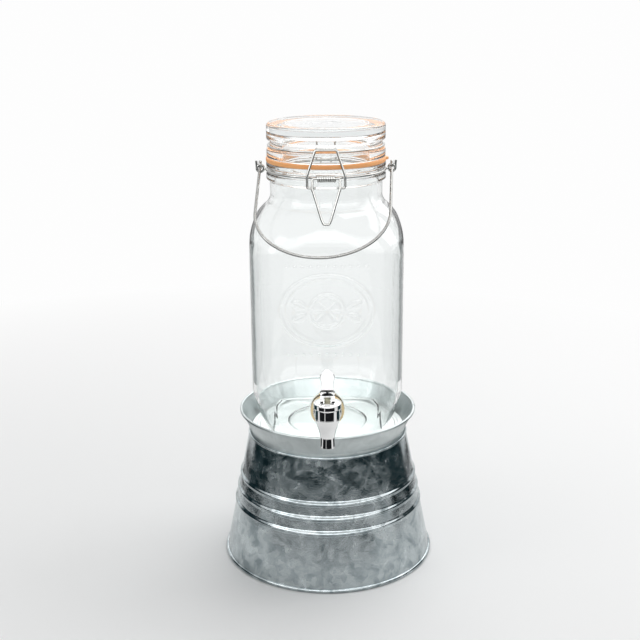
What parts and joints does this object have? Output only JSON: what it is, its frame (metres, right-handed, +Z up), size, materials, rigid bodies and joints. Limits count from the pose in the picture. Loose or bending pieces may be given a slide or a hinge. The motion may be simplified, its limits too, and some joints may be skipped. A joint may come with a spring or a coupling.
{
  "type": "glass beverage dispenser",
  "caption": "Clip-top square glass jar with a lever tap and a wire carry handle, standing in the dish of a ribbed galvanised pedestal; pours cold drinks.",
  "frame": {"origin": "on the floor at the centre of the stand's hem", "axes": "+Z up, front with the tap towards -Y, +X to the right seen from the front"},
  "size_m": [0.2044, 0.2126, 0.42],
  "materials": {
    "clear_glass": "clear pressed glass, slightly wavy",
    "lid_glass": "clear pressed glass",
    "galvanised_steel": "galvanised sheet with a mottled spangle",
    "dish_steel": "pale satin galvanised sheet",
    "plate_steel": "bright satin galvanised plate",
    "steel_wire": "bright drawn wire",
    "tap_chrome": "polished chrome plate",
    "pin_steel": "plain steel",
    "orange_rubber": "soft matt rubber",
    "amber_rubber": "soft matt rubber",
    "seal_rubber": "soft silicone",
    "stem_plastic": "moulded plastic",
    "nut_plastic": "moulded plastic"
  },
  "bodies": {
    "stand": {"stand_skirt": "galvanised_steel", "hem_wire": "galvanised_steel", "dish_wall": "dish_steel", "dish_floor": "plate_steel", "rim_wire": "galvanised_steel"},
    "jar": {"glass_jar": "clear_glass", "neck_band": "steel_wire", "tap_body": "tap_chrome", "tap_bonnet": "tap_chrome", "outer_washer": "amber_rubber", "inner_washer": "amber_rubber", "lock_nut": "nut_plastic", "valve_spring": "pin_steel"},
    "lid": {"glass_lid": "lid_glass", "lid_gasket": "orange_rubber", "lid_wire": "steel_wire"},
    "latch_lever": {"latch_lever": "steel_wire"},
    "latch_loop": {"latch_loop": "steel_wire"},
    "handle": {"carry_handle": "steel_wire"},
    "valve": {"valve_stem": "stem_plastic", "valve_seal": "seal_rubber"},
    "tap_lever": {"tap_lever": "tap_chrome", "lever_pin": "pin_steel"}
  },
  "joints": [
    {"name": "jar_lift", "type": "slide", "parent": "stand", "child": "jar", "axis": [0, 0, 1], "range_m": [0, 0.06]},
    {"name": "lid_hinge", "type": "hinge", "parent": "jar", "child": "lid", "pos_m": [0, 0.0586, 0.378], "axis": [-1, 0, 0], "range_deg": [0, 105]},
    {"name": "latch_lever_pivot", "type": "hinge", "parent": "jar", "child": "latch_lever", "pos_m": [0, -0.0586, 0.378], "axis": [-1, 0, 0], "range_deg": [0, 150]},
    {"name": "latch_loop_pivot", "type": "hinge", "parent": "latch_lever", "child": "latch_loop", "pos_m": [0, -0.05791, 0.36972], "axis": [-1, 0, 0], "range_deg": [-150, 0]},
    {"name": "handle_swing", "type": "hinge", "parent": "jar", "child": "handle", "pos_m": [0, 0, 0.3812], "axis": [-1, 0, 0], "range_deg": [0, 260]},
    {"name": "valve_lift", "type": "slide", "parent": "jar", "child": "valve", "axis": [0, 0, 1], "range_m": [0, 0.003], "deforming": ["valve_spring"]},
    {"name": "tap_lever_pivot", "type": "hinge", "parent": "valve", "child": "tap_lever", "pos_m": [0, -0.098, 0.19205], "axis": [1, 0, 0], "range_deg": [0, 60], "stiffness_Nm_per_rad": 0.05, "springref_deg": -17.19}
  ],
  "couplings": [
    {"joint": "latch_loop_pivot", "follows": "latch_lever_pivot", "ratio": -1},
    {"joint": "valve_lift", "follows": "tap_lever_pivot", "m_per_rad": 0.0028647}
  ]
}
